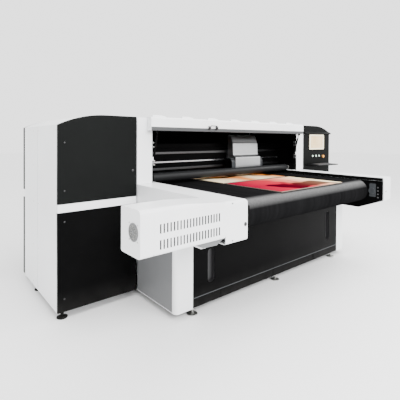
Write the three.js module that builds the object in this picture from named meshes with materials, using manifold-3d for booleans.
// Belt-fed flatbed UV printer: two tall cabinets, a gantry between them, a conveyor table through it.
// Millimetres, +Z up. X runs across the belt, -Y is the output side. The origin is on the floor,
// at the centre of the machine's outline.
import * as THREE from "three";
import { mergeVertices } from "three/addons/utils/BufferGeometryUtils.js";
import Module from "manifold-3d";

const wasm = await Module();
wasm.setup();

// ---- Driving dimensions ----
const GAP = 0.3; // left between solids that touch
const SHEET = 6; // wall of a sheet-metal cover
const HALF_WIDTH = 2290; // outer faces of the cabinets
const HALF_DEPTH = 1462; // ends of the conveyor covers
const GANTRY_Y = -140; // front plane of cabinet doors and gantry posts
const FLOOR_CLEARANCE = 60; // underside of cabinets and base
const FOOT_RADIUS = 50;

const CABINET_INNER = 1502; // cabinet face towards the gantry
const CABINET_BACK = 1026; // rear plane of the cabinet shell
const REAR_DOOR_DEPTH = 84;
const CABINET_WALL = 10;
const ROOF_TOP = 1850;
const SHOULDER_DROP = 105; // the roof falls this far, in an arc, to the outer edge
const SHOULDER_RUN = 450;
const DOOR_THICKNESS = 22;
const LOWER_DOOR_TOP = 955;
const UPPER_DOOR_BOTTOM = 1034;

const POST_INNER = 1315;
const POST_OUTER = 1495;
const POST_DEPTH = 60;
const HEADER_BOTTOM = 1750;
const ROOF_SKIN_TOP = 1845;
const GANTRY_BACK = 1020;
const REAR_MOUTH_TOP = 1330;

const BELT_HALF = 1232;
const BELT_TOP = 1098;
const BELT_RADIUS = 138; // over the belt, round the end rollers
const BELT_THICKNESS = 6;
const ROLLER_Y = 1135; // the end rollers stand at plus and minus this
const ROLLER_Z = BELT_TOP - BELT_RADIUS;
const SHAFT_RADIUS = 25;
const DRUM_WALL = 12;

const PLATE_INNER = 1238;
const PLATE_OUTER = 1246;
const PLATE_TOP = 1102;
const PLATE_BOTTOM = 735;
const NOSE_BOTTOM = 857; // the covers' underside rises to this at each end
const NOSE_RUN = 300;

const COVER_TOP = 1149;
const LEFT_COVER_OUTER = 1490;
const RIGHT_COVER_OUTER = 1450;
const LIP_BOTTOM = PLATE_TOP + 1;

const BASE_FRONT = -820;
const BASE_BACK = 1004;
const BASE_TOP = 728;
const BASE_HALF_WIDTH = 1490;
const LEG_INNER = 1295;
const LEG_CORNER = 45;

const DRIVE_LEFT = -2220;
const DRIVE_BACK = -1215;
const DRIVE_BOTTOM = 890;
const DRIVE_TOP = 1189;
const DRIVE_LEFT_SEAM = -2122;
const DRIVE_RIGHT_SEAM = -1504;
const DRIVE_RIGHT = -1270;
const DRIVE_EDGE = 35;
const RIGHT_CAP_BOTTOM = 840;
const RIGHT_CAP_TOP = 1160;

const FAN_Y = -1380;
const FAN_Z = 1044;
const FAN_HOLE = 50;

const MOTOR_Y = -1372;
const MOTOR_Z = 1022;
const MOTOR_PULLEY_RADIUS = 28;
const ROLLER_PULLEY_RADIUS = 84;
const PULLEY_LEFT = -1328;
const PULLEY_RIGHT = -1298;

const HOOD_HALF = 1377;
const HOOD_FRONT = -221;
const HOOD_BOTTOM = 1711;
const HOOD_TOP = 1854;
const HINGE_Y = -60;
const HINGE_Z = 1866;
const HINGE_PITCH = 401;

const STRUT_X = 1285;
const STRUT_FOOT = { y: -120, z: 1409 };
const STRUT_HEAD = { y: -200, z: 1700 };
const STRUT_TUBE_LENGTH = 250;

const BEAM_FRONT = 340;
const BEAM_BACK = 560;
const BEAM_BOTTOM = 1180;
const BEAM_TOP = 1500;
const RAIL_ZS = [1446, 1245];

const CARRIAGE_LEFT = 219;
const CARRIAGE_RIGHT = 746;
const HEAD_BOTTOM = 1208;

const GUIDE_ROLLER = { y: 10, z: 1187, radius: 50, half: 1230, shaftHalf: 1312 };
const ROLLER_BRACKET_X = 1296;

const PANEL_RIDGE_Z = 1727;
const SCREEN = { left: 1671, right: 2105, bottom: 1462, top: 1706 };
const BUTTON_XS = [1764, 1864, 1956];
const BUTTON_Z = 1354;
const STOP_BUTTON = { x: 2069, z: 1341 };

const BOARD_LEFT = -480;
const BOARD_WIDTH = 1200;
const BOARD_LENGTH = 770;
const BOARD_THICKNESS = 10;
const BOARD_FRONT = -1195;
const BOARD_SPACING = 830;

// ---- Materials ----
const finish = (color, roughness, metalness) => ({ color, roughness, metalness });
const whitePaint = finish(0xeceded, 0.35, 0.0);
const blackPaint = finish(0x17191a, 0.3, 0.1);
const greyPaint = finish(0x8f9192, 0.5, 0.1);
const steel = finish(0xb9bcbf, 0.3, 0.9);
const darkSteel = finish(0x4a4d50, 0.4, 0.7);
const beltRubber = finish(0x141516, 0.55, 0.0);
const blackPlastic = finish(0x1d1e20, 0.5, 0.0);
const silverSheet = finish(0xc9cbcc, 0.3, 0.8);
const screenGlass = finish(0xf3e8c8, 0.15, 0.0);
const boardPrint = finish(0xc24a4a, 0.4, 0.0);

// ---- Geometry helpers ----
function solidOf(geometry) {
  const bare = geometry.index ? geometry.toNonIndexed() : geometry.clone();
  bare.deleteAttribute("normal");
  bare.deleteAttribute("uv");
  const merged = mergeVertices(bare, 1e-4);
  return new wasm.Manifold(
    new wasm.Mesh({
      numProp: 3,
      vertProperties: merged.attributes.position.array,
      triVerts: new Uint32Array(merged.index.array),
    }),
  );
}

function geometryOf(solid) {
  const mesh = solid.getMesh();
  const geometry = new THREE.BufferGeometry();
  geometry.setAttribute("position", new THREE.BufferAttribute(mesh.vertProperties, 3));
  geometry.setIndex(new THREE.BufferAttribute(mesh.triVerts, 1));
  return geometry;
}

function join(...solids) {
  return solids.reduce((a, b) => a.add(b));
}

function cut(solid, ...tools) {
  return tools.reduce((a, b) => a.subtract(b), solid);
}

function box(x0, x1, y0, y1, z0, z1) {
  const geometry = new THREE.BoxGeometry(x1 - x0, y1 - y0, z1 - z0);
  geometry.translate((x0 + x1) / 2, (y0 + y1) / 2, (z0 + z1) / 2);
  return solidOf(geometry);
}

// A prism of a (y, z) outline between two X planes.
function prismX(shape, x0, x1) {
  const depth = x1 - x0;
  const geometry = new THREE.ExtrudeGeometry(shape, { depth, bevelEnabled: false, curveSegments: 6 });
  const basis = new THREE.Matrix4().makeBasis(
    new THREE.Vector3(0, 1, 0),
    new THREE.Vector3(0, 0, 1),
    new THREE.Vector3(1, 0, 0),
  );
  geometry.applyMatrix4(basis);
  geometry.translate(x0, 0, 0);
  return solidOf(geometry);
}

// A prism of an (x, z) outline between two Y planes.
function prismY(shape, y0, y1) {
  const depth = y1 - y0;
  const geometry = new THREE.ExtrudeGeometry(shape, { depth, bevelEnabled: false, curveSegments: 6 });
  geometry.rotateX(Math.PI / 2);
  geometry.translate(0, y1, 0);
  return solidOf(geometry);
}

// A prism of an (x, y) outline between two Z planes.
function prismZ(shape, z0, z1) {
  const depth = z1 - z0;
  const geometry = new THREE.ExtrudeGeometry(shape, { depth, bevelEnabled: false, curveSegments: 6 });
  geometry.translate(0, 0, z0);
  return solidOf(geometry);
}

function polygon(points) {
  return new THREE.Shape(points.map(([u, v]) => new THREE.Vector2(u, v)));
}

// A closed outline whose corners are rounded: each corner is [u, v, radius].
function roundedOutline(corners) {
  const shape = new THREE.Shape();
  corners.forEach(([u, v, radius], i) => {
    const here = new THREE.Vector2(u, v);
    const before = new THREE.Vector2(...corners.at(i - 1).slice(0, 2));
    const after = new THREE.Vector2(...corners[(i + 1) % corners.length].slice(0, 2));
    const toBefore = before.sub(here).normalize();
    const toAfter = after.sub(here).normalize();
    const half = Math.acos(THREE.MathUtils.clamp(toBefore.dot(toAfter), -1, 1)) / 2;
    const reach = radius / Math.tan(half);
    const start = here.clone().addScaledVector(toBefore, reach);
    const end = here.clone().addScaledVector(toAfter, reach);
    if (i === 0) {
      shape.moveTo(start.x, start.y);
    } else {
      shape.lineTo(start.x, start.y);
    }
    if (radius > 0) {
      shape.quadraticCurveTo(here.x, here.y, end.x, end.y);
    }
  });
  shape.closePath();
  return shape;
}

function rounded(u0, u1, v0, v1, radius) {
  return roundedOutline([
    [u0, v0, radius],
    [u1, v0, radius],
    [u1, v1, radius],
    [u0, v1, radius],
  ]);
}

function cylinderX(radius, x0, x1, y, z, segments = 24) {
  const geometry = new THREE.CylinderGeometry(radius, radius, x1 - x0, segments);
  geometry.rotateZ(Math.PI / 2);
  geometry.translate((x0 + x1) / 2, y, z);
  return solidOf(geometry);
}

function cylinderY(radius, y0, y1, x, z, segments = 20) {
  const geometry = new THREE.CylinderGeometry(radius, radius, y1 - y0, segments);
  geometry.translate(x, (y0 + y1) / 2, z);
  return solidOf(geometry);
}

// A turned piece: (radius, height) points that start and end on the axis.
function turned(profile, segments) {
  const geometry = new THREE.LatheGeometry(profile.map(([r, h]) => new THREE.Vector2(r, h)), segments);
  geometry.rotateX(Math.PI / 2);
  return solidOf(geometry);
}

function mirrored(solid) {
  return solid.mirror([1, 0, 0]);
}

const printer = new THREE.Group();

function addPart(name, solid, look) {
  const mesh = new THREE.Mesh(geometryOf(solid), new THREE.MeshStandardMaterial(look));
  mesh.name = name;
  printer.add(mesh);
  return mesh;
}

// ---- Cabinets ----
const ARCH_RADIUS = (SHOULDER_RUN ** 2 + SHOULDER_DROP ** 2) / (2 * SHOULDER_DROP);

// Outline of a left cabinet, door or inner space, with the arched roof lowered by inset.
function cabinetOutline(left, right, bottom, inset) {
  const top = ROOF_TOP - inset;
  const crownX = -HALF_WIDTH + SHOULDER_RUN;
  const radius = ARCH_RADIUS;
  const archStart = Math.acos((left - crownX) / radius);
  const shape = new THREE.Shape();
  shape.moveTo(left, bottom);
  shape.lineTo(right, bottom);
  shape.lineTo(right, top);
  shape.lineTo(crownX, top);
  shape.absarc(crownX, top - radius, radius, Math.PI / 2, archStart, false);
  shape.closePath();
  return shape;
}

// The left cabinet's shell, open at the front and the rear, with the band between its doors.
function cabinetShell() {
  const frontEdge = GANTRY_Y + DOOR_THICKNESS + 2;
  const outline = cabinetOutline(-HALF_WIDTH, -CABINET_INNER, FLOOR_CLEARANCE, 0);
  const outer = prismY(outline, frontEdge, CABINET_BACK);
  const hollow = prismY(
    cabinetOutline(
      -HALF_WIDTH + CABINET_WALL,
      -CABINET_INNER - CABINET_WALL,
      FLOOR_CLEARANCE + CABINET_WALL,
      CABINET_WALL,
    ),
    frontEdge - 1,
    CABINET_BACK + 1,
  );
  const bandBottom = LOWER_DOOR_TOP + 3;
  const bandTop = UPPER_DOOR_BOTTOM - 3;
  const band = box(-HALF_WIDTH + 1, -CABINET_INNER - 2, GANTRY_Y, frontEdge + 30, bandBottom, bandTop);
  const shelf = box(
    -HALF_WIDTH + 1,
    -CABINET_INNER - 1,
    frontEdge,
    CABINET_BACK,
    bandBottom + 20,
    bandBottom + 30,
  );
  return join(cut(outer, hollow), band, shelf);
}

// A front door or panel: a flat slab flush with the front plane.
function frontDoor(outline) {
  return prismY(outline, GANTRY_Y, GANTRY_Y + DOOR_THICKNESS);
}

const DOOR_LEFT = -HALF_WIDTH + 1;
const DOOR_RIGHT = -CABINET_INNER - 2;
const LOWER_DOOR_BOTTOM = FLOOR_CLEARANCE + 2;

function lowerDoor() {
  return frontDoor(
    polygon([
      [DOOR_LEFT, LOWER_DOOR_BOTTOM],
      [DOOR_RIGHT, LOWER_DOOR_BOTTOM],
      [DOOR_RIGHT, LOWER_DOOR_TOP],
      [DOOR_LEFT, LOWER_DOOR_TOP],
    ]),
  );
}

function upperDoor() {
  return frontDoor(cabinetOutline(DOOR_LEFT, DOOR_RIGHT, UPPER_DOOR_BOTTOM, 0));
}

// A rear door is a deep pan that stands behind the shell.
function rearDoor(outerShape, innerShape) {
  const front = CABINET_BACK + GAP;
  const back = CABINET_BACK + REAR_DOOR_DEPTH;
  return cut(prismY(outerShape, front, back), prismY(innerShape, front - 1, back - SHEET));
}

function rearUpperDoor() {
  return rearDoor(
    cabinetOutline(-HALF_WIDTH + 2, DOOR_RIGHT, UPPER_DOOR_BOTTOM, 2),
    cabinetOutline(-HALF_WIDTH + 2 + SHEET, DOOR_RIGHT - SHEET, UPPER_DOOR_BOTTOM + SHEET, 2 + SHEET),
  );
}

function rearLowerDoor(top) {
  const rectangle = (inset) =>
    polygon([
      [-HALF_WIDTH + 2 + inset, LOWER_DOOR_BOTTOM + inset],
      [DOOR_RIGHT - inset, LOWER_DOOR_BOTTOM + inset],
      [DOOR_RIGHT - inset, top - inset],
      [-HALF_WIDTH + 2 + inset, top - inset],
    ]);
  return rearDoor(rectangle(0), rectangle(SHEET));
}

// The right cabinet's rear is one full-height pan.
function rearFullDoor() {
  return rearDoor(
    cabinetOutline(-HALF_WIDTH + 2, DOOR_RIGHT, LOWER_DOOR_BOTTOM, 2),
    cabinetOutline(-HALF_WIDTH + 2 + SHEET, DOOR_RIGHT - SHEET, LOWER_DOOR_BOTTOM + SHEET, 2 + SHEET),
  );
}

// A levelling foot: pad, neck, lock nut and threaded stem, up to the underside it carries.
function levellingFoot(height) {
  return turned(
    [
      [0, 0],
      [FOOT_RADIUS - 2, 0],
      [FOOT_RADIUS, 8],
      [18, 18],
      [10, 24],
      [10, height - 20],
      [15, height - 20],
      [15, height],
      [0, height],
    ],
    12,
  );
}

// A plinth frame under a cabinet, with two feet near its outer side.
function cabinetPlinth() {
  const left = -HALF_WIDTH + 25;
  const right = -CABINET_INNER - 25;
  const front = GANTRY_Y + 30;
  const back = 700;
  const rail = 50;
  const railBottom = FLOOR_CLEARANCE - 10;
  const frame = cut(
    box(left, right, front, back, railBottom, FLOOR_CLEARANCE - GAP),
    box(left + rail, right - rail, front + rail, back - rail, 0, FLOOR_CLEARANCE),
  );
  const feet = [front + 16, back - 53].map((y) => levellingFoot(railBottom + 4).translate(left + 30, y, 0));
  return join(frame, ...feet);
}

function addCabinets() {
  addPart("left_cabinet_shell", cabinetShell(), whitePaint);
  addPart("left_cabinet_plinth", cabinetPlinth(), blackPaint);
  addPart("left_upper_door", upperDoor(), blackPaint);
  addPart("left_lower_door", lowerDoor(), blackPaint);
  addPart("left_upper_rear_door", rearUpperDoor(), blackPaint);
  addPart("left_lower_rear_door", rearLowerDoor(LOWER_DOOR_TOP - 10), blackPaint);
  addPart("right_cabinet_shell", mirrored(cabinetShell()), whitePaint);
  addPart("right_cabinet_plinth", mirrored(cabinetPlinth()), blackPaint);
  addPart("right_lower_door", mirrored(lowerDoor()), blackPaint);
  addPart("right_rear_door", mirrored(rearFullDoor()), blackPaint);
}

// Ink bottles stand on the left cabinet's shelf, in a row, each with a screw cap.
function inkTank() {
  const body = prismZ(rounded(-65, 65, -140, 140, 18), 0, 330);
  const cap = turned(
    [
      [0, 325],
      [28, 325],
      [28, 360],
      [24, 364],
      [0, 364],
    ],
    16,
  ).translate(0, -80, 0);
  return join(body, cap);
}

function addInkTanks() {
  const shelfTop = LOWER_DOOR_TOP + 33;
  ["black", "cyan", "magenta", "yellow"].forEach((ink, i) => {
    const look = finish([0x202124, 0x1a86b8, 0xb32467, 0xd9b21a][i], 0.4, 0.0);
    const x = -HALF_WIDTH + 150 + 160 * i;
    addPart(`ink_tank_${ink}`, inkTank().translate(x, GANTRY_Y + 240, shelfTop + GAP), look);
  });
}

// ---- Control panel on the right cabinet ----
function controlPanel() {
  const face = mirrored(frontDoor(cabinetOutline(DOOR_LEFT, DOOR_RIGHT, UPPER_DOOR_BOTTOM, 0)));
  const ridge = prismX(
    polygon([
      [GANTRY_Y + 4, PANEL_RIDGE_Z - 14],
      [GANTRY_Y - 30, PANEL_RIDGE_Z - 8],
      [GANTRY_Y - 36, PANEL_RIDGE_Z],
      [GANTRY_Y - 30, PANEL_RIDGE_Z + 8],
      [GANTRY_Y + 4, PANEL_RIDGE_Z + 30],
    ]),
    -DOOR_RIGHT,
    -DOOR_LEFT,
  );
  const holes = [...BUTTON_XS.map((x) => [x, BUTTON_Z]), [STOP_BUTTON.x, STOP_BUTTON.z]].map(([x, z]) =>
    cylinderY(12.5, GANTRY_Y - 5, GANTRY_Y + DOOR_THICKNESS + 5, x, z, 16),
  );
  return cut(join(face, ridge), ...holes);
}

// A panel button: a cap in front of the panel on a stem that runs in its hole.
function panelButton(x, z, capRadius, capDepth, clearance) {
  const cap = cylinderY(capRadius, GANTRY_Y - clearance - capDepth, GANTRY_Y - clearance, x, z, 24);
  const stem = cylinderY(11, GANTRY_Y - clearance - 1, GANTRY_Y + DOOR_THICKNESS - 6, x, z, 16);
  return join(cap, stem);
}

function keyboardTray() {
  const left = 1560;
  const right = 2220;
  const front = GANTRY_Y - 225;
  const plate = prismZ(
    roundedOutline([
      [left, GANTRY_Y - 3, 4],
      [left, front, 60],
      [right, front, 60],
      [right, GANTRY_Y - 3, 4],
    ].reverse()),
    1205,
    1219,
  );
  const hollow = box(left + 40, right - 40, front + 30, GANTRY_Y - 40, 1214, 1225);
  return cut(plate, hollow);
}

function addControlPanel() {
  addPart("control_panel", controlPanel(), blackPaint);
  addPart(
    "touch_screen",
    prismY(rounded(SCREEN.left, SCREEN.right, SCREEN.bottom, SCREEN.top, 6), GANTRY_Y - 8, GANTRY_Y - GAP),
    screenGlass,
  );
  ["power_button", "vacuum_button", "feed_button"].forEach((name, i) =>
    addPart(name, panelButton(BUTTON_XS[i], BUTTON_Z, 15, 9, 4.5), finish(0xdff0e0, 0.3, 0.0)),
  );
  const amber = finish(0xd8902a, 0.35, 0.0);
  addPart("emergency_stop", panelButton(STOP_BUTTON.x, STOP_BUTTON.z, 24, 18, 9), amber);
  addPart("keyboard_tray", keyboardTray(), blackPlastic);
}

// ---- Gantry ----
// A ring of posts and header across the machine, with a mouth up to mouthTop.
function gantryRing(front, back, mouthTop) {
  const outer = box(-POST_OUTER, POST_OUTER, front, back, COVER_TOP + 1, ROOF_SKIN_TOP);
  const mouth = box(-POST_INNER, POST_INNER, front - 1, back + 1, COVER_TOP, mouthTop);
  return cut(outer, mouth);
}

function gantryHousing() {
  const front = gantryRing(GANTRY_Y, GANTRY_Y + POST_DEPTH, HEADER_BOTTOM);
  const back = gantryRing(GANTRY_BACK - POST_DEPTH / 2, GANTRY_BACK, REAR_MOUTH_TOP);
  const roofBottom = ROOF_SKIN_TOP - 10;
  const roof = box(-POST_OUTER, POST_OUTER, GANTRY_Y + 1, GANTRY_BACK - 1, roofBottom, ROOF_SKIN_TOP);
  const hingeTabs = Array.from({ length: 7 }, (_, i) => {
    const x = (i - 3) * HINGE_PITCH;
    return prismX(rounded(HINGE_Y - 12, HINGE_Y + 50, ROOF_SKIN_TOP - 5, HINGE_Z + 18, 4), x - 62, x + 62);
  });
  const rollerBrackets = [-1, 1].map((side) => {
    const plate = box(
      ROLLER_BRACKET_X,
      POST_INNER + 5,
      GANTRY_Y + 20,
      GUIDE_ROLLER.y + 40,
      COVER_TOP + 1,
      1240,
    );
    const bore = cylinderX(
      12.5,
      ROLLER_BRACKET_X - 1,
      POST_INNER + 20,
      GUIDE_ROLLER.y,
      GUIDE_ROLLER.z,
      16,
    );
    const bracket = cut(plate, bore);
    return side < 0 ? mirrored(bracket) : bracket;
  });
  const strutLugs = [-1, 1].map((side) => {
    const lug = box(
      STRUT_X + 13,
      POST_INNER + 5,
      GANTRY_Y + 2,
      GANTRY_Y + 40,
      STRUT_FOOT.z - 20,
      STRUT_FOOT.z + 20,
    );
    return side < 0 ? mirrored(lug) : lug;
  });
  return join(front, back, roof, ...hingeTabs, ...rollerBrackets, ...strutLugs);
}

// The lift-up hood over the gantry's front edge: fascia, top skin, end walls, knuckles and strut lugs.
// Its bottom lip is notched where the struts swing past.
function frontHood() {
  const section = (inset, bottom) =>
    roundedOutline([
      [HOOD_FRONT + inset, bottom, 0],
      [GANTRY_Y - 2, bottom, 0],
      [GANTRY_Y - 2, ROOF_SKIN_TOP + 2, 0],
      [HINGE_Y - 18, ROOF_SKIN_TOP + 2, 0],
      [HINGE_Y - 18, HOOD_TOP - inset, 0],
      [HOOD_FRONT + inset, HOOD_TOP - inset, 18],
    ]);
  const outer = prismX(section(0, HOOD_BOTTOM), -HOOD_HALF, HOOD_HALF);
  const hollow = box(
    -HOOD_HALF + SHEET,
    HOOD_HALF - SHEET,
    HOOD_FRONT + SHEET,
    GANTRY_Y + 10,
    HOOD_BOTTOM - 1,
    ROOF_SKIN_TOP + 3,
  );
  const lip = box(
    -HOOD_HALF + 1,
    HOOD_HALF - 1,
    HOOD_FRONT + 1,
    HOOD_FRONT + 40,
    HOOD_BOTTOM,
    HOOD_BOTTOM + SHEET,
  );
  const lipNotches = [-1, 1].map((side) => {
    const notch = box(
      STRUT_X - 12,
      STRUT_X + 13,
      HOOD_FRONT + 10,
      HOOD_FRONT + 41,
      HOOD_BOTTOM - 1,
      HOOD_BOTTOM + SHEET + 1,
    );
    return side < 0 ? mirrored(notch) : notch;
  });
  const knuckles = Array.from({ length: 7 }, (_, i) => {
    const x = (i - 3) * HINGE_PITCH + 64;
    const barrel = cylinderX(11, x, x + 40, HINGE_Y, HINGE_Z, 12);
    const leaf = box(x, x + 40, HINGE_Y - 30, HINGE_Y, HOOD_TOP - 5, HOOD_TOP + 9);
    return join(barrel, leaf);
  });
  const lugs = [-1, 1].map((side) => {
    const lugBack = STRUT_HEAD.y + 14;
    const lug = box(STRUT_X + 9, STRUT_X + 17, STRUT_HEAD.y - 16, lugBack, STRUT_HEAD.z - 14, 1760);
    const arm = box(STRUT_X + 9, STRUT_X + 17, HOOD_FRONT + 2, lugBack, 1740, 1790);
    const both = join(lug, arm);
    return side < 0 ? mirrored(both) : both;
  });
  return join(cut(outer, hollow), cut(lip, ...lipNotches), ...knuckles, ...lugs);
}

const STRUT_ANGLE = Math.atan2(STRUT_FOOT.y - STRUT_HEAD.y, STRUT_HEAD.z - STRUT_FOOT.z);
const STRUT_LENGTH = Math.hypot(STRUT_FOOT.y - STRUT_HEAD.y, STRUT_HEAD.z - STRUT_FOOT.z);

// A gas strut is made upright at the origin, then leaned and moved to its foot.
function placeStrut(solid, x) {
  const leanDegrees = THREE.MathUtils.radToDeg(STRUT_ANGLE);
  return solid.rotate([leanDegrees, 0, 0]).translate(x, STRUT_FOOT.y, STRUT_FOOT.z);
}

function strutTube() {
  const bore = 5.5;
  const tube = turned(
    [
      [0, 8],
      [11, 8],
      [11, STRUT_TUBE_LENGTH],
      [bore, STRUT_TUBE_LENGTH],
      [bore, 14],
      [0, 14],
    ],
    16,
  );
  return join(tube, cylinderX(11, -7, 7, 0, 0, 16));
}

function strutRod() {
  const rod = turned(
    [
      [0, 16],
      [5, 16],
      [5, STRUT_LENGTH - 6],
      [0, STRUT_LENGTH - 6],
    ],
    12,
  );
  return join(rod, cylinderX(10, -7, 7, 0, STRUT_LENGTH, 16));
}

function addGantry() {
  addPart("gantry_housing", gantryHousing(), whitePaint);
  addPart("front_hood", frontHood(), whitePaint);
  [-1, 1].forEach((side) => {
    const label = side < 0 ? "left" : "right";
    addPart(`strut_tube_${label}`, placeStrut(strutTube(), side * STRUT_X), blackPaint);
    addPart(`strut_rod_${label}`, placeStrut(strutRod(), side * STRUT_X), steel);
  });
  addPart("gantry_beam", gantryBeam(), blackPaint);
  RAIL_ZS.forEach((z, i) => {
    const name = i === 0 ? "guide_rail_upper" : "guide_rail_lower";
    addPart(name, guideRail(z), steel);
  });
  addPart("guide_roller", guideRoller(), darkSteel);
}

function gantryBeam() {
  const wall = 12;
  const outer = box(-1500, 1500, BEAM_FRONT, BEAM_BACK, BEAM_BOTTOM, BEAM_TOP);
  const bore = box(-1501, 1501, BEAM_FRONT + wall, BEAM_BACK - wall, BEAM_BOTTOM + wall, BEAM_TOP - wall);
  return cut(outer, bore);
}

function guideRail(z) {
  const section = polygon([
    [BEAM_FRONT - GAP, z - 15],
    [BEAM_FRONT - GAP, z + 15],
    [BEAM_FRONT - 10, z + 15],
    [BEAM_FRONT - 14, z + 10],
    [BEAM_FRONT - 22, z + 15],
    [BEAM_FRONT - 24, z + 13],
    [BEAM_FRONT - 24, z - 13],
    [BEAM_FRONT - 22, z - 15],
    [BEAM_FRONT - 14, z - 10],
    [BEAM_FRONT - 10, z - 15],
  ]);
  return prismX(section, -1480, 1480);
}

function guideRoller() {
  const { y, z, radius, half, shaftHalf } = GUIDE_ROLLER;
  return join(cylinderX(radius, -half, half, y, z, 28), cylinderX(12, -shaftHalf, shaftHalf, y, z, 16));
}

// ---- Print carriage ----
const CARRIAGE_FRONT = GANTRY_Y + 245;

function carriageFrame() {
  const plateFront = BEAM_FRONT - 50;
  const plateBack = BEAM_FRONT - 30;
  const plate = box(CARRIAGE_LEFT + 12, CARRIAGE_RIGHT - 12, plateFront, plateBack, 1225, 1470);
  const blocks = RAIL_ZS.flatMap((z) =>
    [CARRIAGE_LEFT + 70, CARRIAGE_RIGHT - 70].map((x) => {
      const body = box(x - 50, x + 50, plateBack - 1, BEAM_FRONT - 9, z - 30, z + 30);
      const slot = box(x - 51, x + 51, BEAM_FRONT - 25, BEAM_FRONT, z - 16, z + 16);
      return cut(body, slot);
    }),
  );
  return join(plate, ...blocks);
}

// The bright folded cover: a front that leans back in three steps, and two cheeks.
function carriageCover() {
  const profile = (t) =>
    polygon([
      [CARRIAGE_FRONT + t, HEAD_BOTTOM],
      [CARRIAGE_FRONT + 168, HEAD_BOTTOM],
      [CARRIAGE_FRONT + 168, 1690 - t],
      [CARRIAGE_FRONT + 126 + t, 1690 - t],
      [CARRIAGE_FRONT + 67 + t, 1563],
      [CARRIAGE_FRONT + 54 + t, 1385],
      [CARRIAGE_FRONT + t, 1350],
    ]);
  const outer = prismX(profile(0), CARRIAGE_LEFT, CARRIAGE_RIGHT);
  const hollow = prismX(profile(SHEET), CARRIAGE_LEFT + SHEET, CARRIAGE_RIGHT - SHEET);
  const below = box(
    CARRIAGE_LEFT + SHEET,
    CARRIAGE_RIGHT - SHEET,
    CARRIAGE_FRONT + SHEET,
    CARRIAGE_FRONT + 170,
    HEAD_BOTTOM - 1,
    HEAD_BOTTOM + 60,
  );
  const behind = box(
    CARRIAGE_LEFT + SHEET,
    CARRIAGE_RIGHT - SHEET,
    CARRIAGE_FRONT + 140,
    CARRIAGE_FRONT + 170,
    HEAD_BOTTOM,
    1690 - SHEET,
  );
  return cut(outer, hollow, below, behind);
}

// Two rows of print heads in a carrier plate.
function printHeadBank() {
  const left = CARRIAGE_LEFT + SHEET + 14;
  const right = CARRIAGE_RIGHT - SHEET - 14;
  const plateFront = CARRIAGE_FRONT + 16;
  const plate = box(left, right, plateFront, plateFront + 142, HEAD_BOTTOM + 4, HEAD_BOTTOM + 14);
  const pitch = (right - left) / 4;
  const heads = Array.from({ length: 8 }, (_, i) => {
    const x = left + pitch * ((i % 4) + 0.5);
    const y = CARRIAGE_FRONT + (i < 4 ? 50 : 120);
    return box(x - 40, x + 40, y - 22, y + 22, HEAD_BOTTOM - 4, HEAD_BOTTOM + 110);
  });
  return join(plate, ...heads);
}

// A UV lamp: a housing with cooling fins along its upper side.
function uvLamp(x0, x1) {
  const body = box(x0, x1, CARRIAGE_FRONT + 20, CARRIAGE_FRONT + 160, HEAD_BOTTOM, HEAD_BOTTOM + 110);
  const fins = Array.from({ length: 5 }, (_, i) => {
    const y = CARRIAGE_FRONT + 30 + i * 28;
    return box(x0 + 4, x1 - 4, y, y + 10, HEAD_BOTTOM + 109, HEAD_BOTTOM + 140);
  });
  return join(body, ...fins);
}

function addCarriage() {
  addPart("carriage_frame", carriageFrame(), darkSteel);
  addPart("carriage_cover", carriageCover(), silverSheet);
  addPart("print_head_bank", printHeadBank(), darkSteel);
  addPart("uv_lamp_left", uvLamp(CARRIAGE_LEFT - 66, CARRIAGE_LEFT - 1), blackPaint);
  addPart("uv_lamp_right", uvLamp(CARRIAGE_RIGHT + 1, CARRIAGE_RIGHT + 66), blackPaint);
}

// ---- Conveyor ----
// The loop round both end rollers, at the given radius.
function loopOutline(radius, Kind = THREE.Shape) {
  const path = new Kind();
  path.moveTo(-ROLLER_Y, ROLLER_Z - radius);
  path.lineTo(ROLLER_Y, ROLLER_Z - radius);
  path.absarc(ROLLER_Y, ROLLER_Z, radius, -Math.PI / 2, Math.PI / 2, false);
  path.lineTo(-ROLLER_Y, ROLLER_Z + radius);
  path.absarc(-ROLLER_Y, ROLLER_Z, radius, Math.PI / 2, (3 * Math.PI) / 2, false);
  path.closePath();
  return path;
}

function prismFine(shape, x0, x1, steps) {
  const points = shape.extractPoints(steps);
  const plain = new THREE.Shape(points.shape);
  plain.holes = points.holes.map((hole) => new THREE.Path(hole));
  return prismX(plain, x0, x1);
}

function conveyorBelt() {
  const shape = loopOutline(BELT_RADIUS);
  shape.holes.push(loopOutline(BELT_RADIUS - BELT_THICKNESS, THREE.Path));
  return prismFine(shape, -BELT_HALF, BELT_HALF, 20);
}

// The outline shared by the conveyor's side plates and covers, drawn in by inset.
function sideOutline(inset, top) {
  const end = HALF_DEPTH - inset;
  return polygon([
    [-end, top],
    [-end, NOSE_BOTTOM],
    [-end + NOSE_RUN, PLATE_BOTTOM],
    [end - NOSE_RUN, PLATE_BOTTOM],
    [end, NOSE_BOTTOM],
    [end, top],
  ].reverse());
}

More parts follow.
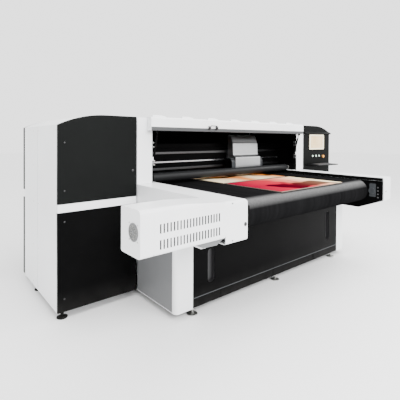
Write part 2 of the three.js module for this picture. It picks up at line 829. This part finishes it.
function conveyorFrame() {
  const plates = [-1, 1].map((side) => {
    const plate = prismX(sideOutline(8, PLATE_TOP), PLATE_INNER, PLATE_OUTER);
    const bores = [-ROLLER_Y, ROLLER_Y].map((y) =>
      cylinderX(SHAFT_RADIUS + 2, PLATE_INNER - 1, PLATE_OUTER + 1, y, ROLLER_Z, 20),
    );
    const bored = cut(plate, ...bores);
    return side < 0 ? mirrored(bored) : bored;
  });
  const tableEnd = ROLLER_Y - BELT_RADIUS - 25;
  const tableTop = BELT_TOP - BELT_THICKNESS - GAP;
  const table = box(-PLATE_INNER - 2, PLATE_INNER + 2, -tableEnd, tableEnd, tableTop - 30, tableTop);
  const ties = [-750, -250, 250, 750].map((y) =>
    box(-PLATE_INNER - 2, PLATE_INNER + 2, y - 40, y + 40, ROLLER_Z - 40, ROLLER_Z + 40),
  );
  return join(...plates, table, ...ties);
}

// A hollow drum with holed end discs, on a shaft that runs right through it.
function endRoller(y, shaftLeft, shaftRight) {
  const half = BELT_HALF - 2;
  const discInner = half - DRUM_WALL;
  const radius = BELT_RADIUS - BELT_THICKNESS - GAP;
  const drum = cylinderX(radius, -half, half, y, ROLLER_Z, 36);
  const bore = cylinderX(radius - DRUM_WALL, -discInner, discInner, y, ROLLER_Z, 24);
  const holes = [0, 1, 2].map((i) => {
    const angle = (i * 2 * Math.PI) / 3;
    const reach = (SHAFT_RADIUS + radius - DRUM_WALL) / 2;
    const holeY = y + reach * Math.cos(angle);
    const holeZ = ROLLER_Z + reach * Math.sin(angle);
    return cylinderX(22, -half - 1, half + 1, holeY, holeZ, 10);
  });
  return join(cut(drum, bore, ...holes), cylinderX(SHAFT_RADIUS, shaftLeft, shaftRight, y, ROLLER_Z, 16));
}

// The drum that drives the belt carries the large timing pulley on its left end.
function driveRoller() {
  const pulley = cylinderX(ROLLER_PULLEY_RADIUS, PULLEY_LEFT, PULLEY_RIGHT, -ROLLER_Y, ROLLER_Z, 32);
  return join(endRoller(-ROLLER_Y, PULLEY_LEFT - 8, PLATE_OUTER + 30), pulley);
}

// Cover over one side of the conveyor: top, outer skirt, end walls and the lip beside the belt.
function sideCover(front, outerFace) {
  const outer = prismX(sideOutline(0, COVER_TOP), PLATE_OUTER + 1, outerFace);
  const hollow = box(
    PLATE_OUTER - 5,
    outerFace - SHEET,
    -HALF_DEPTH + SHEET,
    HALF_DEPTH - SHEET,
    PLATE_BOTTOM - 5,
    COVER_TOP - SHEET,
  );
  const top = box(PLATE_INNER, PLATE_OUTER + 5, -HALF_DEPTH, HALF_DEPTH, COVER_TOP - SHEET, COVER_TOP);
  const lip = box(PLATE_INNER, PLATE_INNER + 5, -HALF_DEPTH, HALF_DEPTH, LIP_BOTTOM, COVER_TOP - 1);
  const whole = join(cut(outer, hollow), top, lip);
  const trim = box(0, HALF_WIDTH, -HALF_DEPTH - 10, front, 0, ROOF_TOP);
  return front > -HALF_DEPTH ? cut(whole, trim) : whole;
}

function addConveyor() {
  addPart("conveyor_frame", conveyorFrame(), blackPaint);
  addPart("conveyor_belt", conveyorBelt(), beltRubber);
  addPart("front_roller", driveRoller(), steel);
  addPart("rear_roller", endRoller(ROLLER_Y, -PLATE_OUTER - 30, PLATE_OUTER + 30), steel);
  addPart("left_side_cover", mirrored(sideCover(DRIVE_BACK + GAP, LEFT_COVER_OUTER)), whitePaint);
  addPart("right_side_cover", sideCover(-HALF_DEPTH, RIGHT_COVER_OUTER), whitePaint);
}

// ---- Belt drive in its box at the front left ----
// The drive box's outline seen from the side, drawn in by inset.
function driveProfile(inset, bottom, top, back) {
  const edge = DRIVE_EDGE - inset;
  return roundedOutline([
    [back, bottom + inset, edge / 2],
    [back, top - inset, edge / 2],
    [-HALF_DEPTH + inset, top - inset, edge],
    [-HALF_DEPTH + inset, bottom + inset, edge * 0.7],
  ]);
}

// The drive box's outline seen from the front: its top falls towards the belt.
function driveTopOutline(inset) {
  return polygon([
    [DRIVE_LEFT - 10, RIGHT_CAP_BOTTOM - 10],
    [-1200, RIGHT_CAP_BOTTOM - 10],
    [-1200, RIGHT_CAP_TOP - inset],
    [DRIVE_RIGHT_SEAM, RIGHT_CAP_TOP - inset],
    [-1900, DRIVE_TOP - inset],
    [DRIVE_LEFT - 10, DRIVE_TOP - inset],
  ]);
}

function driveShell(x0, x1, wallLeft, wallRight, bottom, back) {
  const outer = prismX(driveProfile(0, bottom, DRIVE_TOP, back), x0, x1);
  const slope = prismY(driveTopOutline(0), -HALF_DEPTH - 10, back + 10);
  const innerBack = back - SHEET;
  const hollow = prismX(driveProfile(SHEET, bottom, DRIVE_TOP, innerBack), x0 + wallLeft, x1 - wallRight);
  const innerSlope = prismY(driveTopOutline(SHEET), -HALF_DEPTH - 10, back + 10);
  return cut(outer.intersect(slope), hollow.intersect(innerSlope));
}

// The sheet-metal middle of the box, with two rows of ventilation slots.
function driveCover() {
  const shell = driveShell(DRIVE_LEFT_SEAM + GAP, DRIVE_RIGHT_SEAM - GAP, -1, -1, DRIVE_BOTTOM, DRIVE_BACK);
  const slots = [1058, 957].flatMap((z) =>
    Array.from({ length: 20 }, (_, i) => {
      const x = -2073 + i * 26.5;
      return box(x - 6, x + 6, -HALF_DEPTH - 5, -HALF_DEPTH + SHEET + 5, z - 30, z + 30);
    }),
  );
  return cut(shell, ...slots);
}

function driveLeftCap() {
  const shell = driveShell(DRIVE_LEFT, DRIVE_LEFT_SEAM, SHEET, -1, DRIVE_BOTTOM, DRIVE_BACK);
  return cut(shell, cylinderX(FAN_HOLE, DRIVE_LEFT - 5, DRIVE_LEFT + 20, FAN_Y, FAN_Z, 24));
}

// The moulded cap beside the belt is open at the rear, where the timing belt passes.
function driveRightCap() {
  const outline = roundedOutline([
    [DRIVE_RIGHT_SEAM, RIGHT_CAP_BOTTOM, 0],
    [DRIVE_RIGHT, RIGHT_CAP_BOTTOM, 14],
    [DRIVE_RIGHT, RIGHT_CAP_TOP, 28],
    [DRIVE_RIGHT_SEAM, RIGHT_CAP_TOP, 0],
  ]);
  const body = prismY(outline, -HALF_DEPTH, DRIVE_BACK).intersect(
    prismX(driveProfile(0, RIGHT_CAP_BOTTOM, RIGHT_CAP_TOP, DRIVE_BACK), DRIVE_RIGHT_SEAM, DRIVE_RIGHT),
  );
  const hollow = box(
    DRIVE_RIGHT_SEAM - 1,
    DRIVE_RIGHT - SHEET,
    -HALF_DEPTH + SHEET,
    DRIVE_BACK + 1,
    RIGHT_CAP_BOTTOM + SHEET,
    RIGHT_CAP_TOP - 40,
  );
  return cut(body, hollow);
}

function fanGuard() {
  const x0 = DRIVE_LEFT - 4;
  const x1 = DRIVE_LEFT - GAP;
  const ring = (outer, inner) =>
    cut(cylinderX(outer, x0, x1, FAN_Y, FAN_Z, 32), cylinderX(inner, x0 - 1, x1 + 1, FAN_Y, FAN_Z, 24));
  const spokes = [0, 60, 120].map((degrees) =>
    box(x0, x1, -52, 52, -2, 2).rotate([degrees, 0, 0]).translate(0, FAN_Y, FAN_Z),
  );
  return join(ring(58, 48), ring(34, 30), cylinderX(14, x0, x1, FAN_Y, FAN_Z, 20), ...spokes);
}

function fanRotor() {
  const x0 = DRIVE_LEFT + 12;
  const hub = cylinderX(20, x0, x0 + 24, FAN_Y, FAN_Z, 20);
  const blades = Array.from({ length: 7 }, (_, i) =>
    box(-1.2, 1.2, -11, 11, 15, 46)
      .rotate([0, 0, 50])
      .translate(x0 + 12, 0, 0)
      .rotate([(360 / 7) * i, 0, 0])
      .translate(0, FAN_Y, FAN_Z),
  );
  return join(hub, ...blades);
}

// Geared motor on a foot plate, its shaft towards the belt.
function driveMotor() {
  const barrel = cylinderX(62, -1930, -1640, MOTOR_Y, MOTOR_Z, 24);
  const gearbox = box(-1645, -1400, MOTOR_Y - 62, MOTOR_Y + 70, MOTOR_Z - 62, MOTOR_Z + 62);
  const foot = box(-1900, -1400, MOTOR_Y - 50, MOTOR_Y + 60, DRIVE_BOTTOM + SHEET + 4, MOTOR_Z - 50);
  return join(barrel, gearbox, foot);
}

function motorPulley() {
  const pulley = cylinderX(MOTOR_PULLEY_RADIUS, PULLEY_LEFT, PULLEY_RIGHT, MOTOR_Y, MOTOR_Z, 24);
  return join(pulley, cylinderX(14, -1398, PULLEY_LEFT + 1, MOTOR_Y, MOTOR_Z, 16));
}

// Outline of a belt round two pulleys, each radius enlarged by offset.
function twoPulleyOutline(offset) {
  const span = new THREE.Vector2(MOTOR_Y + ROLLER_Y, MOTOR_Z - ROLLER_Z);
  const along = span.angle();
  const large = ROLLER_PULLEY_RADIUS + offset;
  const small = MOTOR_PULLEY_RADIUS + offset;
  const contact = Math.acos((large - small) / span.length());
  const steps = 18;
  const arc = (y, z, radius, from, to) =>
    Array.from({ length: steps + 1 }, (_, i) => {
      const angle = from + ((to - from) * i) / steps;
      return [y + radius * Math.cos(angle), z + radius * Math.sin(angle)];
    });
  return [
    ...arc(-ROLLER_Y, ROLLER_Z, large, along + contact, along + 2 * Math.PI - contact),
    ...arc(MOTOR_Y, MOTOR_Z, small, along - contact, along + contact),
  ];
}

function timingBelt() {
  const x0 = PULLEY_LEFT + 3;
  const x1 = PULLEY_RIGHT - 3;
  const outer = prismX(polygon(twoPulleyOutline(5)), x0, x1);
  return cut(outer, prismX(polygon(twoPulleyOutline(1)), x0 - 1, x1 + 1));
}

function addDrive() {
  addPart("drive_cover", driveCover(), whitePaint);
  addPart("drive_cover_left_cap", driveLeftCap(), whitePaint);
  addPart("drive_cover_right_cap", driveRightCap(), whitePaint);
  addPart("fan_guard", fanGuard(), greyPaint);
  addPart("fan_rotor", fanRotor(), blackPlastic);
  addPart("drive_motor", driveMotor(), darkSteel);
  addPart("motor_pulley", motorPulley(), steel);
  addPart("timing_belt", timingBelt(), beltRubber);
}

// ---- Base ----
const FRAME_INNER = 1440;
const TUBE = 60;

function baseFrame() {
  const front = BASE_FRONT + 8;
  const back = BASE_BACK - 10;
  const ring = (z0, z1) =>
    cut(
      box(-FRAME_INNER, FRAME_INNER, front, back, z0, z1),
      box(-FRAME_INNER + TUBE, FRAME_INNER - TUBE, front + TUBE, back - TUBE, z0 - 1, z1 + 1),
    );
  const legs = [-FRAME_INNER, -TUBE / 2, FRAME_INNER - TUBE].flatMap((x) =>
    [front, back - TUBE].map((y) => box(x, x + TUBE, y, y + TUBE, FLOOR_CLEARANCE + 1, BASE_TOP - 1)),
  );
  const rearFeet = [-1170, 1170].map((x) =>
    levellingFoot(FLOOR_CLEARANCE + 4).translate(x, back - TUBE / 2, 0),
  );
  const carriers = [-1, 1].map((side) => {
    const rail = box(PLATE_INNER - 25, FRAME_INNER - 1, front, back, BASE_TOP - TUBE, PLATE_BOTTOM - 1);
    return side < 0 ? mirrored(rail) : rail;
  });
  return join(
    ring(FLOOR_CLEARANCE + GAP, FLOOR_CLEARANCE + TUBE),
    ring(BASE_TOP - TUBE, BASE_TOP),
    ...legs,
    ...rearFeet,
    ...carriers,
  );
}

// The black front panel, with an upright access slot near each end.
function frontBasePanel() {
  const front = BASE_FRONT;
  const back = BASE_FRONT + SHEET;
  const lower = box(-LEG_INNER + 2, LEG_INNER - 2, front, back, FLOOR_CLEARANCE + 2, BASE_TOP);
  const upper = box(-BELT_HALF, BELT_HALF, front, back, BASE_TOP - 1, ROLLER_Z - BELT_RADIUS - 8);
  const slot = (x, z0, z1) =>
    prismY(rounded(x - 44, x + 44, z0, z1, 40), front - 5, back + 5);
  return cut(join(lower, upper), slot(-1070, 248, 574), slot(1048, 267, 645));
}

function rearBasePanel() {
  return box(
    -BASE_HALF_WIDTH,
    BASE_HALF_WIDTH,
    BASE_BACK - SHEET,
    BASE_BACK,
    FLOOR_CLEARANCE + 2,
    PLATE_BOTTOM - 3,
  );
}

// Side sheet of the base with the rounded leg cover at its front corner.
function baseSideCover() {
  const back = GANTRY_Y - 2;
  const section = (inset) =>
    roundedOutline([
      [LEG_INNER, BASE_FRONT + inset, 0],
      [BASE_HALF_WIDTH - inset, BASE_FRONT + inset, LEG_CORNER - inset],
      [BASE_HALF_WIDTH - inset, back + inset, 0],
      [LEG_INNER, back + inset, 0],
    ]);
  const bottom = FLOOR_CLEARANCE - 4;
  const top = PLATE_BOTTOM - 2;
  const outer = prismZ(section(0), bottom, top);
  const hollow = prismZ(section(SHEET), bottom - 1, top + 1);
  const skin = BASE_HALF_WIDTH - SHEET;
  const behind = box(LEG_INNER - 5, skin, BASE_FRONT + 30, back + 30, bottom - 1, top + 1);
  return cut(outer, hollow, behind);
}

function addBase() {
  addPart("base_frame", baseFrame(), blackPaint);
  addPart("front_base_panel", frontBasePanel(), blackPaint);
  addPart("rear_base_panel", rearBasePanel(), blackPaint);
  addPart("base_side_cover_left", mirrored(baseSideCover()), whitePaint);
  addPart("base_side_cover_right", baseSideCover(), whitePaint);
  ["left", "middle", "right"].forEach((place, i) => {
    const x = -1285 + 1228 * i;
    const foot = levellingFoot(FLOOR_CLEARANCE).translate(x, BASE_FRONT + 23, 0);
    addPart(`levelling_foot_${place}`, foot, blackPaint);
  });
}

// ---- Printed boards lying on the belt ----
function addBoards() {
  ["front", "rear"].forEach((place, i) => {
    const front = BOARD_FRONT + i * BOARD_SPACING;
    const bottom = BELT_TOP + GAP;
    const board = box(
      BOARD_LEFT,
      BOARD_LEFT + BOARD_WIDTH,
      front,
      front + BOARD_LENGTH,
      bottom,
      bottom + BOARD_THICKNESS,
    );
    addPart(`printed_board_${place}`, board, boardPrint);
  });
}

addCabinets();
addInkTanks();
addControlPanel();
addGantry();
addCarriage();
addConveyor();
addDrive();
addBase();
addBoards();

export default printer;
